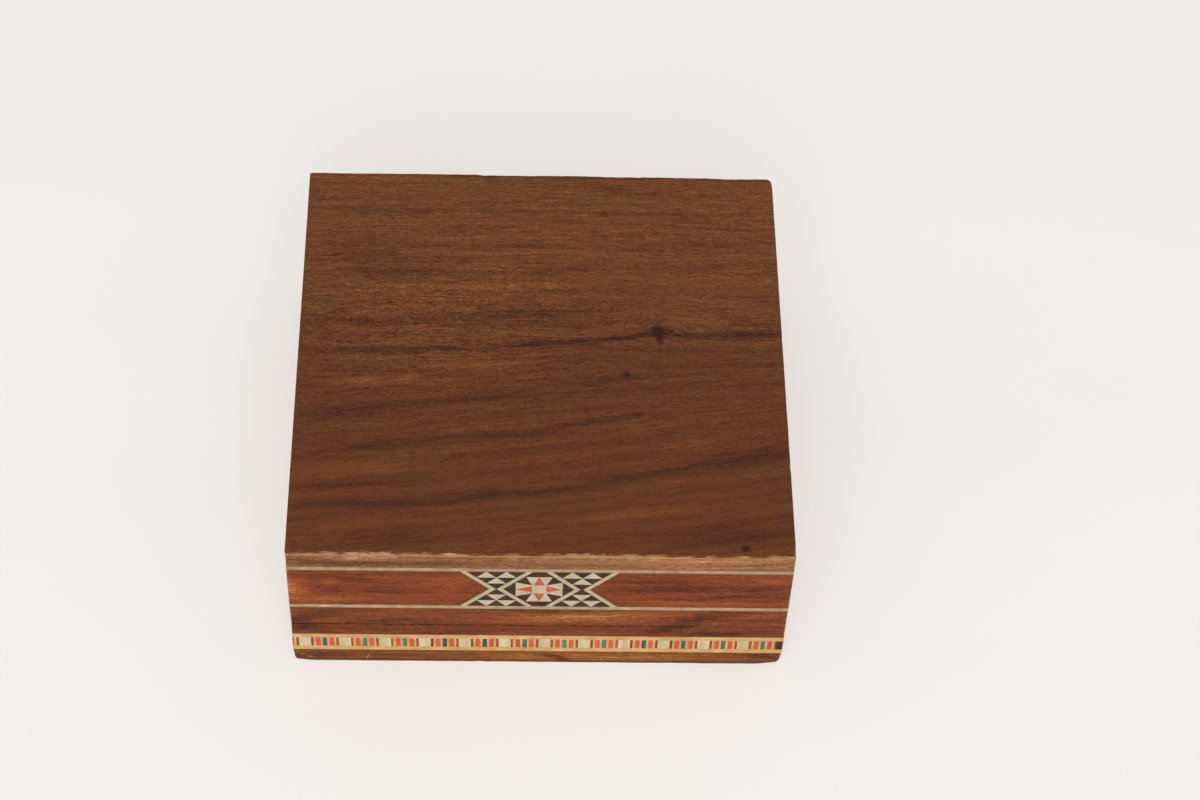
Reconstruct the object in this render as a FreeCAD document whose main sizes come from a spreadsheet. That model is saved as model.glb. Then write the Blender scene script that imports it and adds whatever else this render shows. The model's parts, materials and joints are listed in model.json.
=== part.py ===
import FreeCAD, Part
import math
import os
import Sketcher

# A square marquetry box: two softwood shells, each of four rabbeted walls and a board, covered with
# walnut veneer, stringing and banding, and joined by two brass butt hinges at the back.
# Millimetres, +Z up, the front faces -Y, and the origin is the middle of the underside.

SIZES = [
    ("box_width", "100", "outside, left to right"),
    ("box_depth", "100", "outside, front to back without the hinge barrels"),
    ("box_height", "38.6", "outside"),
    ("seam_height", "13.6", "floor to the rim of the base"),
    ("seam_gap", "0.2", "sawn line between base and lid"),
    ("corner_radius", "0.4", "rounding of the upright corners"),
    ("foot_radius", "0.5", "rounding of the bottom edges"),
    ("core_wall", "5", "thickness of the softwood walls"),
    ("top_board", "4", "thickness of the board under the top veneer"),
    ("bottom_board", "3", "thickness of the board over the bottom veneer"),
    ("rabbet_depth", "2.5", "wood left at the ends of the front and back walls"),
    ("inlay_depth", "1", "thickness of the veneers and inlays on the sides"),
    ("sheet_veneer", "0.8", "thickness of the top and bottom sheets"),
    ("edge_strip", "4.85", "top face down to the upper line"),
    ("line_width", "1", "width of a stringing line"),
    ("skirt_strip", "5.9", "rim of the lid up to the lower line"),
    ("foot_strip", "4.3", "floor to the banding"),
    ("band_height", "5.65", "banding with its borders"),
    ("band_border", "1.3", "width of a border strip of the banding"),
    ("motif_height", "12", "height that the motif is drawn at, before it is fitted to the frieze"),
    ("motif_shift", "0.2", "middle of the motif, left of the middle of the front"),
    ("cross_offset", "8.5", "middle of the motif to the middle of a cross"),
    ("cross_waist", "2.65", "width of the left cross at its middle"),
    ("cross_spread", "15.7", "middle of the motif to the outer end of a cross"),
    ("cross_strip", "0.9", "width of the strips of a cross"),
    ("waist_gap", "0.35", "by how much the right cross is wider at its middle"),
    ("star_width", "9.3", "across the side points of the star"),
    ("star_height", "8.5", "across the upper and lower points of the star"),
    ("star_square", "2.85", "side of the square in the star"),
    ("star_red", "2.3", "width of a red point where it leaves the square"),
    ("star_end", "5.2", "width of the upper and lower points at their ends"),
    ("star_flank", "4.8", "height of the side points at their ends"),
    ("cream_block", "2.47", "length of a cream block of the banding"),
    ("brown_slice", "0.5", "length of a brown slice"),
    ("yellow_slice", "0.46", "length of a yellow slice"),
    ("red_block", "0.95", "length of a red block"),
    ("green_block", "0.9", "length of a green block"),
    ("band_shift", "2.83", "green block nearest the middle, left of it"),
    ("end_filler", "1.4", "dark filler at the right end of the front banding"),
    ("hinge_length", "18", "length of a hinge along the back"),
    ("hinge_inset", "13", "ends of the back to the hinges"),
    ("leaf_set", "5", "reach of a leaf in from the back face"),
    ("leaf_thickness", "0.7", "thickness of a leaf"),
    ("barrel_radius", "1.3", "outside of the knuckles"),
    ("barrel_gap", "0.3", "between the knuckles and the back face"),
    ("pin_radius", "0.6", "hinge pin"),
    ("pin_head", "0.3", "reach of a pin past the knuckles at each end"),
    ("running_play", "0.05", "pin in knuckle, on the radius"),
    ("knuckle_play", "0.15", "between knuckles, along the pin"),
    ("seat_play", "0.1", "around a leaf in its seat"),
    ("hole_spacing", "10", "between the two nail holes of a leaf"),
    ("hole_inset", "2.6", "nail holes in from the back face"),
    ("hole_radius", "0.65", "nail holes of the leaves"),
    ("lining_cloth", "0.8", "thickness of the lining"),
    ("lining_play", "0.1", "between pieces of the lining"),
    ("lining_reveal", "0.6", "bare wood between the lining and the rim"),
]


class Size:
    """A length with both its number and the sheet expression that it comes from."""

    def __init__(self, number, text):
        self.number = number
        self.text = text

    def __add__(self, other):
        other = as_size(other)
        return Size(self.number + other.number, f"({self.text} + {other.text})")

    def __sub__(self, other):
        other = as_size(other)
        return Size(self.number - other.number, f"({self.text} - {other.text})")

    def __mul__(self, other):
        other = as_size(other)
        return Size(self.number * other.number, f"({self.text} * {other.text})")

    def __truediv__(self, other):
        other = as_size(other)
        return Size(self.number / other.number, f"({self.text} / {other.text})")

    def __neg__(self):
        return as_size(0) - self


def as_size(value):
    if isinstance(value, Size):
        return value
    return Size(float(value), str(float(value)))


document = FreeCAD.newDocument("marquetry_box")
sheet = document.addObject("Spreadsheet::Sheet", "sizes")
for row, (name, text, note) in enumerate(SIZES, start=1):
    sheet.set(f"A{row}", name)
    sheet.set(f"B{row}", text)
    sheet.set(f"C{row}", note)
    sheet.setAlias(f"B{row}", name)
document.recompute()


def from_sheet(name):
    return Size(float(sheet.get(name)), f"sizes.{name}")


half_width = from_sheet("box_width") / 2
half_depth = from_sheet("box_depth") / 2
box_height = from_sheet("box_height")
seam_height = from_sheet("seam_height")
seam_gap = from_sheet("seam_gap")
corner_radius = from_sheet("corner_radius")
core_wall = from_sheet("core_wall")
top_board = from_sheet("top_board")
bottom_board = from_sheet("bottom_board")
rabbet_depth = from_sheet("rabbet_depth")
inlay_depth = from_sheet("inlay_depth")
sheet_veneer = from_sheet("sheet_veneer")
line_width = from_sheet("line_width")
band_border = from_sheet("band_border")
cross_offset = from_sheet("cross_offset")
hinge_length = from_sheet("hinge_length")
leaf_thickness = from_sheet("leaf_thickness")
barrel_radius = from_sheet("barrel_radius")
knuckle_play = from_sheet("knuckle_play")
seat_play = from_sheet("seat_play")
lining_cloth = from_sheet("lining_cloth")
lining_play = from_sheet("lining_play")

# Levels above the floor that follow from the driving sizes.
lid_rim = seam_height + seam_gap
upper_line_top = box_height - from_sheet("edge_strip")
frieze_top = upper_line_top - line_width
lower_line_bottom = lid_rim + from_sheet("skirt_strip")
frieze_bottom = lower_line_bottom + line_width
frieze_height = frieze_top - frieze_bottom
frieze_middle = frieze_bottom + frieze_height / 2
band_bottom = from_sheet("foot_strip")
band_top = band_bottom + from_sheet("band_height")
slice_bottom = band_bottom + band_border
slice_top = band_top - band_border
floor_level = sheet_veneer + bottom_board
roof_level = box_height - sheet_veneer - top_board

# The carcass inside the veneers, and the room inside the carcass.
core_x = half_width - inlay_depth
core_y = half_depth - inlay_depth
room_x = core_x - core_wall
room_y = core_y - core_wall

nodes = []


def node(piece):
    nodes.append(piece)
    return piece


def bind(item, **sizes):
    for name, value in sizes.items():
        item.setExpression(name, as_size(value).text)
    return item


def place(item, x, y, z):
    for axis, value in zip("xyz", (x, y, z)):
        item.setExpression(f"Placement.Base.{axis}", as_size(value).text)
    return item


def turn(item, axis, degrees):
    item.Placement = FreeCAD.Placement(FreeCAD.Vector(), FreeCAD.Rotation(FreeCAD.Vector(*axis), degrees))
    return item


def block(label, low, high):
    """A rectangular piece between two corners."""
    item = document.addObject("Part::Box", label)
    bind(item, Length=high[0] - low[0], Width=high[1] - low[1], Height=high[2] - low[2])
    return place(item, *low)


def cut_away(label, base, tool):
    item = document.addObject("Part::Cut", label)
    item.Base = base
    item.Tool = tool
    return item


def group(label, members):
    item = document.addObject("Part::Compound", label)
    item.Links = members
    return item


def origin_plane(body, role):
    return [item for item in body.Origin.OriginFeatures if item.Role == role][0]


def sketch_on(body, label, role):
    sketch = body.newObject("Sketcher::SketchObject", label)
    sketch.AttachmentSupport = [(origin_plane(body, role), "")]
    sketch.MapMode = "FlatFace"
    return sketch


def hold(sketch, kind, geometry, point, value):
    """Ties one coordinate of a sketch point to the sheet."""
    if value.number == 0:
        axis = -2 if kind == "DistanceX" else -1
        sketch.addConstraint(Sketcher.Constraint("PointOnObject", geometry, point, axis))
        return
    index = sketch.addConstraint(Sketcher.Constraint(kind, -1, 1, geometry, point, value.number))
    sketch.setExpression(f"Constraints[{index}]", value.text)


def draw_outline(sketch, corners):
    """A closed straight-sided outline whose corners follow the sheet."""
    corners = [(as_size(x), as_size(y)) for x, y in corners]
    first = sketch.GeometryCount
    count = len(corners)
    for index in range(count):
        start = corners[index]
        end = corners[(index + 1) % count]
        a = FreeCAD.Vector(start[0].number, start[1].number, 0)
        b = FreeCAD.Vector(end[0].number, end[1].number, 0)
        sketch.addGeometry(Part.LineSegment(a, b), False)
    for index in range(count):
        following = first + (index + 1) % count
        sketch.addConstraint(Sketcher.Constraint("Coincident", first + index, 2, following, 1))
    for index, (x, y) in enumerate(corners):
        hold(sketch, "DistanceX", first + index, 1, x)
        hold(sketch, "DistanceY", first + index, 1, y)


def draw_rectangle(sketch, x_low, x_high, y_low, y_high):
    draw_outline(sketch, [(x_low, y_low), (x_high, y_low), (x_high, y_high), (x_low, y_high)])


def draw_circle(sketch, radius, x=0, y=0):
    x = as_size(x)
    y = as_size(y)
    middle = FreeCAD.Vector(x.number, y.number, 0)
    circle = Part.Circle(middle, FreeCAD.Vector(0, 0, 1), radius.number)
    index = sketch.addGeometry(circle, False)
    hold(sketch, "DistanceX", index, 3, x)
    hold(sketch, "DistanceY", index, 3, y)
    rule = sketch.addConstraint(Sketcher.Constraint("Radius", index, radius.number))
    sketch.setExpression(f"Constraints[{rule}]", radius.text)


def pad(body, label, sketch, length, reverse=False):
    feature = body.newObject("PartDesign::Pad", label)
    feature.Profile = sketch
    feature.Reversed = reverse
    return bind(feature, Length=length)


def pocket_through(body, label, sketch):
    feature = body.newObject("PartDesign::Pocket", label)
    feature.Profile = sketch
    feature.Type = "ThroughAll"
    feature.Midplane = True
    return feature


# The outside of the box after sanding. Every piece that reaches the outside is trimmed to it.
envelope = document.addObject("PartDesign::Body", "envelope")
envelope_plan = sketch_on(envelope, "envelope_plan", "XY_Plane")
draw_rectangle(envelope_plan, -half_width, half_width, -half_depth, half_depth)
envelope_block = pad(envelope, "envelope_block", envelope_plan, box_height)
document.recompute()


def edges_where(shape, test):
    return [f"Edge{i}" for i, edge in enumerate(shape.Edges, start=1) if test(edge.BoundBox)]


foot_rounding = envelope.newObject("PartDesign::Fillet", "foot_rounding")
foot_rounding.Base = (envelope_block, edges_where(envelope_block.Shape, lambda box: box.ZMax < 0.001))
bind(foot_rounding, Radius=from_sheet("foot_radius"))
document.recompute()
half_height = box_height.number / 2
corner_rounding = envelope.newObject("PartDesign::Fillet", "corner_rounding")
corner_rounding.Base = (
    foot_rounding,
    edges_where(foot_rounding.Shape, lambda box: box.ZLength > half_height),
)
bind(corner_rounding, Radius=corner_radius)
document.recompute()


def sanded(label, blank):
    """A piece trimmed to the rounded outside of the box."""
    item = document.addObject("Part::Common", label)
    item.Base = blank
    item.Tool = envelope
    return item


# The carcass walls. The front and back walls have rabbeted ends that take the side walls.
def long_wall(label, faces_back, bottom, top):
    body = document.addObject("PartDesign::Body", label)
    plan = sketch_on(body, f"{label}_plan", "XY_Plane")
    shoulder = core_x - core_wall
    outer = rabbet_depth
    draw_outline(
        plan,
        [
            (-core_x, 0),
            (core_x, 0),
            (core_x, outer),
            (shoulder, outer),
            (shoulder, core_wall),
            (-shoulder, core_wall),
            (-shoulder, outer),
            (-core_x, outer),
        ],
    )
    pad(body, f"{label}_pad", plan, top - bottom)
    if faces_back:
        turn(body, (0, 0, 1), 180)
        return place(body, 0, core_y, bottom)
    return place(body, 0, -core_y, bottom)


def short_wall(label, x_low, bottom, top):
    body = document.addObject("PartDesign::Body", label)
    plan = sketch_on(body, f"{label}_plan", "XY_Plane")
    reach = core_y - rabbet_depth
    draw_rectangle(plan, 0, core_wall, -reach, reach)
    pad(body, f"{label}_pad", plan, top - bottom)
    return place(body, x_low, 0, bottom)


def board(label, bottom, thickness):
    body = document.addObject("PartDesign::Body", label)
    plan = sketch_on(body, f"{label}_plan", "XY_Plane")
    draw_rectangle(plan, -core_x, core_x, -core_y, core_y)
    pad(body, f"{label}_pad", plan, thickness)
    return place(body, 0, 0, bottom)


node(long_wall("lid_front_wall", False, lid_rim, roof_level))
lid_back_blank = long_wall("lid_back_blank", True, lid_rim, roof_level)
node(short_wall("lid_left_wall", -core_x, lid_rim, roof_level))
node(short_wall("lid_right_wall", room_x, lid_rim, roof_level))
node(board("lid_top_board", roof_level, top_board))
node(long_wall("base_front_wall", False, floor_level, seam_height))
base_back_blank = long_wall("base_back_blank", True, floor_level, seam_height)
node(short_wall("base_left_wall", -core_x, floor_level, seam_height))
node(short_wall("base_right_wall", room_x, floor_level, seam_height))
node(board("base_bottom_board", sheet_veneer, bottom_board))

# The hinges. Each turns about a line behind the back face, level with the middle of the sawn line.
axis_y = half_depth + from_sheet("barrel_gap") + barrel_radius
axis_z = seam_height + seam_gap / 2
leaf_reach = axis_y - half_depth + from_sheet("leaf_set")
hinge_middle = half_width - from_sheet("hinge_inset") - hinge_length / 2
hinge_middles = (("left", -hinge_middle), ("right", hinge_middle))
hole_offsets = (-from_sheet("hole_spacing") / 2, from_sheet("hole_spacing") / 2)
hole_from_pin = axis_y - half_depth + from_sheet("hole_inset")


def hinge_leaf(label, middle_knuckle):
    """A leaf lying in +Y from the pin line, with its plate above the pin line by half the sawn line."""
    body = document.addObject("PartDesign::Body", label)
    half_length = hinge_length / 2
    plate = sketch_on(body, f"{label}_plate", "XY_Plane")
    bind(plate, **{"AttachmentOffset.Base.z": seam_gap / 2})
    draw_rectangle(plate, -half_length, half_length, 0, leaf_reach)
    pad(body, f"{label}_plate_pad", plate, leaf_thickness)
    barrel = sketch_on(body, f"{label}_barrel", "YZ_Plane")
    draw_circle(barrel, barrel_radius)
    bind(barrel, **{"AttachmentOffset.Base.z": -half_length})
    pad(body, f"{label}_barrel_pad", barrel, hinge_length)
    bore = sketch_on(body, f"{label}_bore", "YZ_Plane")
    draw_circle(bore, from_sheet("pin_radius") + from_sheet("running_play"))
    pocket_through(body, f"{label}_bore_pocket", bore)
    clear = barrel_radius + from_sheet("barrel_gap")
    third = hinge_length / 6
    notch = sketch_on(body, f"{label}_notch", "XY_Plane")
    if middle_knuckle:
        inner = third - knuckle_play / 2
        outer = half_length + 1
        draw_rectangle(notch, -outer, -inner, -clear, clear)
        draw_rectangle(notch, inner, outer, -clear, clear)
    else:
        inner = third + knuckle_play / 2
        draw_rectangle(notch, -inner, inner, -clear, clear)
    pocket_through(body, f"{label}_notch_pocket", notch)
    holes = sketch_on(body, f"{label}_holes", "XY_Plane")
    for offset in hole_offsets:
        draw_circle(holes, from_sheet("hole_radius"), offset, hole_from_pin)
    pocket_through(body, f"{label}_holes_pocket", holes)
    return body


def seat(label, middle, bottom, top):
    """The recess that a leaf lies in, open toward the back."""
    half_length = hinge_length / 2 + seat_play
    low = (middle - half_length, half_depth - from_sheet("leaf_set") - seat_play, bottom)
    high = (middle + half_length, half_depth + 1, top)
    return block(label, low, high)


base_seats = []
lid_seats = []
pins = []
for side, middle in hinge_middles:
    base_seats.append(seat(f"base_seat_{side}", middle, seam_height - leaf_thickness, seam_height + 1))
    lid_seats.append(seat(f"lid_seat_{side}", middle, lid_rim - 1, lid_rim + leaf_thickness))
    lower = turn(hinge_leaf(f"hinge_{side}_lower_leaf", False), (1, 0, 0), 180)
    node(place(lower, middle, axis_y, axis_z))
    upper = turn(hinge_leaf(f"hinge_{side}_upper_leaf", True), (0, 0, 1), 180)
    node(place(upper, middle, axis_y, axis_z))
    pin = document.addObject("PartDesign::Body", f"hinge_pin_{side}")
    outline = sketch_on(pin, f"hinge_pin_{side}_section", "YZ_Plane")
    pin_reach = hinge_length / 2 + from_sheet("pin_head")
    bind(outline, **{"AttachmentOffset.Base.z": -pin_reach})
    draw_circle(outline, from_sheet("pin_radius"))
    pad(pin, f"hinge_pin_{side}_rod", outline, pin_reach * 2)
    pins.append(place(pin, middle, axis_y, axis_z))
node(group("hinge_pins", pins))

base_recesses = group("base_hinge_recesses", base_seats)
lid_recesses = group("lid_hinge_recesses", lid_seats)
node(cut_away("base_back_wall", base_back_blank, base_recesses))
node(cut_away("lid_back_wall", lid_back_blank, lid_recesses))


# Veneers, lines and borders. The front and back ones run the whole width, the sides fit between.
def side_block(label, side, bottom, top):
    left = -half_width
    right = half_width
    front = -half_depth
    back = half_depth
    if side == "front":
        return block(label, (left, front, bottom), (right, front + inlay_depth, top))
    if side == "back":
        return block(label, (left, back - inlay_depth, bottom), (right, back, top))
    if side == "left":
        return block(label, (left, -core_y, bottom), (left + inlay_depth, core_y, top))
    return block(label, (right - inlay_depth, -core_y, bottom), (right, core_y, top))


SIDES = ("front", "back", "left", "right")


def ring(label, bottom, top):
    """Four strips of one kind around the box, as one node."""
    strips = []
    for side in SIDES:
        blank = side_block(f"{label}_{side}_blank", side, bottom, top)
        strips.append(sanded(f"{label}_{side}", blank))
    return node(group(label, strips))


for side in SIDES:
    top_of_strip = box_height - sheet_veneer
    edge = side_block(f"lid_{side}_edge_blank", side, upper_line_top, top_of_strip)
    node(sanded(f"lid_{side}_edge_strip", edge))
    skirt = side_block(f"lid_{side}_skirt_blank", side, lid_rim, lower_line_bottom)
    rim = side_block(f"base_{side}_rim_blank", side, band_top, seam_height)
    if side == "back":
        skirt = cut_away("lid_back_skirt_notched", skirt, lid_recesses)
        rim = cut_away("base_back_rim_notched", rim, base_recesses)
    node(sanded(f"lid_{side}_skirt_strip", skirt))
    node(sanded(f"base_{side}_rim_strip", rim))
    if side != "front":
        panel = side_block(f"lid_{side}_frieze_blank", side, frieze_bottom, frieze_top)
        node(sanded(f"lid_{side}_frieze", panel))

ring("lid_upper_line", frieze_top, upper_line_top)
ring("lid_lower_line", lower_line_bottom, frieze_bottom)
ring("base_foot_strips", sheet_veneer, band_bottom)
ring("band_lower_border", band_bottom, slice_bottom)
ring("band_upper_border", slice_top, band_top)


def whole_sheet(label, bottom, top):
    blank = block(f"{label}_blank", (-half_width, -half_depth, bottom), (half_width, half_depth, top))
    return node(sanded(label, blank))


whole_sheet("lid_top_veneer", box_height - sheet_veneer, box_height)
whole_sheet("base_bottom_veneer", as_size(0), sheet_veneer)

# The front frieze. A cross is two cream angles with their points together. Its edges lean the same way
# on both sides, so a panel, a cross and the cell of the star meet along straight lines. The motif is
# drawn at its own height and stretched upright to that of the frieze.
motif_shift = from_sheet("motif_shift")
left_waist = from_sheet("cross_waist")
right_waist = left_waist + from_sheet("waist_gap")
cross_spread = from_sheet("cross_spread")
strip_width = from_sheet("cross_strip").number
motif_height = from_sheet("motif_height").number
half_motif = motif_height / 2
stretch = frieze_height.number / motif_height


def frieze_panel(label, waist, end, mirrored):
    """The walnut beside the motif, with a pointed end let into the cross, measured from the motif."""
    body = document.addObject("PartDesign::Body", f"{label}_blank")
    outline = sketch_on(body, f"{label}_outline", "XZ_Plane")
    draw_outline(
        outline,
        [
            (cross_spread, 0),
            (end, 0),
            (end, frieze_height),
            (cross_spread, frieze_height),
            (cross_offset + waist / 2, frieze_height / 2),
        ],
    )
    pad(body, f"{label}_pad", outline, inlay_depth, reverse=True)
    if mirrored:
        turn(body, (0, 0, 1), 180)
        place(body, -motif_shift, -half_depth + inlay_depth, frieze_bottom)
    else:
        place(body, -motif_shift, -half_depth, frieze_bottom)
    return node(sanded(label, body))


frieze_panel("lid_front_frieze_left", left_waist, half_width - motif_shift, True)
frieze_panel("lid_front_frieze_right", right_waist, half_width + motif_shift, False)


def tile(corners):
    """A flat piece of the motif, from its face back into the frieze."""
    points = [FreeCAD.Vector(x, 0, z * stretch) for x, z in corners]
    face = Part.Face(Part.makePolygon(points + points[:1]))
    return face.extrude(FreeCAD.Vector(0, inlay_depth.number, 0))


def motif(label, tiles):
    item = document.addObject("Part::Feature", label)
    item.Shape = Part.makeCompound(tiles) if len(tiles) > 1 else tiles[0]
    spot = FreeCAD.Vector(-motif_shift.number, -half_depth.number, frieze_middle.number)
    item.Placement = FreeCAD.Placement(spot, FreeCAD.Rotation())
    return node(item)


ROWS = 3
TOUCHING = 0.001


class Cross:
    """The sizes of one cross, counted from its middle."""

    def __init__(self, middle, waist):
        self.middle = middle
        self.half_waist = waist / 2
        self.reach = cross_spread.number - cross_offset.number - self.half_waist
        self.lean = half_motif / self.reach
        self.along = strip_width / math.sin(math.atan(self.lean))
        self.neck = self.half_waist - self.along
        self.inner_end = cross_offset.number - self.half_waist - self.reach

    def strips(self):
        """Four strips, mitred in pairs at the waist. They also meet in the middle if the waist is narrow."""
        strip = [
            (self.half_waist, 0),
            (self.half_waist + self.reach, half_motif),
            (self.half_waist + self.reach - self.along, half_motif),
        ]
        if self.neck > TOUCHING:
            strip.append((self.neck, 0))
        else:
            strip += [(0, -self.neck * self.lean), (0, 0)]
        return [tile([(self.middle + x * a, z * b) for x, z in strip]) for a in (1, -1) for b in (1, -1)]

    def triangles(self, sign):
        """The triangle between two arms, cut into rows of dark tiles that point to the crossing and light
        tiles that point away from it. The first dark tile is cut off short in an open waist."""
        tip = -self.neck * self.lean
        rise = (half_motif - tip) / ROWS
        run = rise / self.lean
        dark = []
        light = []
        for row in range(1, ROWS + 1):
            low = (tip + rise * (row - 1)) * sign
            high = (tip + rise * row) * sign
            for index in range(row):
                start = self.middle - run * row + 2 * run * index
                point = [(start + run, low)]
                if row == 1 and self.neck > TOUCHING:
                    point = [(self.middle + self.neck, 0), (self.middle - self.neck, 0)]
                dark.append(tile([(start, high), (start + 2 * run, high)] + point))
                if index:
                    light.append(tile([(start - run, low), (start + run, low), (start, high)]))
        return dark, light


left_cross = Cross(-cross_offset.number, left_waist.number)
right_cross = Cross(cross_offset.number, right_waist.number)
strips = []
dark_tiles = []
light_tiles = []
for cross in (left_cross, right_cross):
    strips += cross.strips()
    for sign in (1, -1):
        dark, light = cross.triangles(sign)
        dark_tiles += dark
        light_tiles += light
motif("motif_cross_strips", strips)
motif("motif_dark_triangles", dark_tiles)
motif("motif_light_triangles", light_tiles)

# The star: a square, four red points on its sides, and a light piece on either flank of each of them.
star_x = from_sheet("star_width").number / 2
star_z = from_sheet("star_height").number / 2
square = from_sheet("star_square").number / 2
red = from_sheet("star_red").number / 2
end = from_sheet("star_end").number / 2
flank = from_sheet("star_flank").number / 2
red_points = []
light_points = []
for sign in (1, -1):
    tip = (0, star_z * sign)
    red_points.append(tile([(-red, square * sign), (red, square * sign), tip]))
    side_tip = (star_x * sign, 0)
    red_points.append(tile([(square * sign, -red), (square * sign, red), side_tip]))
    for hand in (1, -1):
        corner = (square * hand, square * sign)
        outer = (end * hand, star_z * sign)
        light_points.append(tile([corner, (red * hand, square * sign), tip, outer]))
        corner = (square * sign, square * hand)
        outer = (star_x * sign, flank * hand)
        light_points.append(tile([corner, (square * sign, red * hand), side_tip, outer]))
centre = tile([(-square, -square), (square, -square), (square, square), (-square, square)])
star = centre.multiFuse(red_points + light_points).removeSplitter()
left_point = cross_offset.number - left_cross.half_waist
right_point = cross_offset.number - right_cross.half_waist
cell = tile(
    [
        (-left_point, 0),
        (-left_cross.inner_end, -half_motif),
        (right_cross.inner_end, -half_motif),
        (right_point, 0),
        (right_cross.inner_end, half_motif),
        (-left_cross.inner_end, half_motif),
    ]
)
motif("star_ground", cell.cut(star).Solids)
motif("star_red_points", red_points)
motif("star_light_points", light_points)
motif("star_centre", [centre])

# The core of the banding: slices of dyed and plain wood, one repeat after another along each side. The
# front and back runs take the whole width, with a dark filler at the right end of the front.
REPEAT = ("green", "yellow", "red", "yellow", "brown", "cream", "brown", "yellow", "red", "yellow")
LENGTHS = {
    "green": from_sheet("green_block").number,
    "yellow": from_sheet("yellow_slice").number,
    "red": from_sheet("red_block").number,
    "brown": from_sheet("brown_slice").number,
    "cream": from_sheet("cream_block").number,
}
NODE_OF = {
    "green": "band_green_blocks",
    "yellow": "band_yellow_slices",
    "red": "band_red_blocks",
    "brown": "band_brown_slices",
    "cream": "band_cream_blocks",
}
THINNEST = 0.1
period = sum(LENGTHS[colour] for colour in REPEAT)


def run_of_slices(low, high, shift):
    """The slices between two ends of a run, counted from its middle: colour, start and end."""
    start = shift - LENGTHS["green"] / 2
    start -= period * math.ceil((start - low) / period)
    slices = []
    while start < high:
        for colour in REPEAT:
            a = max(start, low)
            start += LENGTHS[colour]
            b = min(start, high)
            if b - a > THINNEST:
                slices.append([colour, a, b])
    slices[0][1] = low
    slices[-1][2] = high
    for before, after in zip(slices, slices[1:]):
        after[1] = before[2]
    return slices


def slice_solid(side, a, b):
    """A slice from a to b along a side, counted from the middle of the side."""
    deep = inlay_depth.number
    tall = slice_top.number - slice_bottom.number
    level = slice_bottom.number
    x = half_width.number
    y = half_depth.number
    if side == "front":
        solid = Part.makeBox(b - a, deep, tall, FreeCAD.Vector(a, -y, level))
    elif side == "back":
        solid = Part.makeBox(b - a, deep, tall, FreeCAD.Vector(-b, y - deep, level))
    elif side == "right":
        solid = Part.makeBox(deep, b - a, tall, FreeCAD.Vector(x - deep, a, level))
    else:
        solid = Part.makeBox(deep, b - a, tall, FreeCAD.Vector(-x, -b, level))
    half_side = x if side in ("front", "back") else y
    if max(abs(a), abs(b)) > half_side - corner_radius.number:
        solid = solid.common(envelope.Shape).Solids[0]
    return solid


slices_of = {colour: [] for colour in LENGTHS}
shift = -from_sheet("band_shift").number
filler_start = half_width.number - from_sheet("end_filler").number
RUNS = (
    ("front", -half_width.number, filler_start),
    ("right", -core_y.number, core_y.number),
    ("back", -half_width.number, half_width.number),
    ("left", -core_y.number, core_y.number),
)
for side, low, high in RUNS:
    for colour, a, b in run_of_slices(low, high, shift):
        slices_of[colour].append(slice_solid(side, a, b))


def inlay(label, solids):
    item = document.addObject("Part::Feature", label)
    item.Shape = Part.makeCompound(solids) if len(solids) > 1 else solids[0]
    item.Placement = FreeCAD.Placement()
    return node(item)


for colour, solids in slices_of.items():
    inlay(NODE_OF[colour], solids)
inlay("band_end_filler", [slice_solid("front", filler_start, half_width.number)])

# The lining: a floor or roof piece, and four wall pieces that stand on it.
in_x = room_x - lining_play
in_y = room_y - lining_play


def lining_sheet(label, bottom):
    return node(block(label, (-in_x, -in_y, bottom), (in_x, in_y, bottom + lining_cloth)))


def lining_walls(label, bottom, top):
    reach_y = in_y - lining_cloth - lining_play
    walls = [
        block(f"{label}_front", (-in_x, -in_y, bottom), (in_x, -in_y + lining_cloth, top)),
        block(f"{label}_back", (-in_x, in_y - lining_cloth, bottom), (in_x, in_y, top)),
        block(f"{label}_left", (-in_x, -reach_y, bottom), (-in_x + lining_cloth, reach_y, top)),
        block(f"{label}_right", (in_x - lining_cloth, -reach_y, bottom), (in_x, reach_y, top)),
    ]
    return node(group(label, walls))


lining_sheet("base_lining_floor", floor_level)
lining_sheet("lid_lining_roof", roof_level - lining_cloth)
reveal = from_sheet("lining_reveal")
lining_walls("base_lining_walls", floor_level + lining_cloth + lining_play, seam_height - reveal)
lining_walls("lid_lining_walls", lid_rim + reveal, roof_level - lining_cloth - lining_play)

document.recompute()
for item in document.Objects:
    if "Invalid" in item.State or "Error" in item.State:
        raise RuntimeError(f"{item.Label} did not build: {item.State}")
for item in nodes:
    if item.Shape.isNull() or not item.Shape.isValid() or not item.Shape.Solids:
        raise RuntimeError(f"{item.Label} has no valid shape")

os.makedirs("parts", exist_ok=True)
for item in nodes:
    item.Shape.exportStep(f"parts/{item.Label}.step")
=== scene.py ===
import json
import math

import bmesh
import bpy
from mathutils import Matrix, Vector, noise


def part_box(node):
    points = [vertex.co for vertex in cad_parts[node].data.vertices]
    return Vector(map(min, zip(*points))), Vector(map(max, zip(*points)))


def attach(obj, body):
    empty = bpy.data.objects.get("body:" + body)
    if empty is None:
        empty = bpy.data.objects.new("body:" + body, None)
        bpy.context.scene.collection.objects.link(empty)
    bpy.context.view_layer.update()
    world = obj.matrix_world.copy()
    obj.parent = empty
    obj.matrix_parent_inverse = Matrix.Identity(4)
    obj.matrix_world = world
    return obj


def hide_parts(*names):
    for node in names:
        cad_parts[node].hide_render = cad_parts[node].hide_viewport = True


# The looks of a marquetry box: worn walnut veneers, cream stringing, a star between two crosses
# and a banding of dyed woods, with nailed brass hinges and a felt lining. Lengths are in
# millimetres and become metres where a mesh, a lamp or the camera is made.

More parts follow.
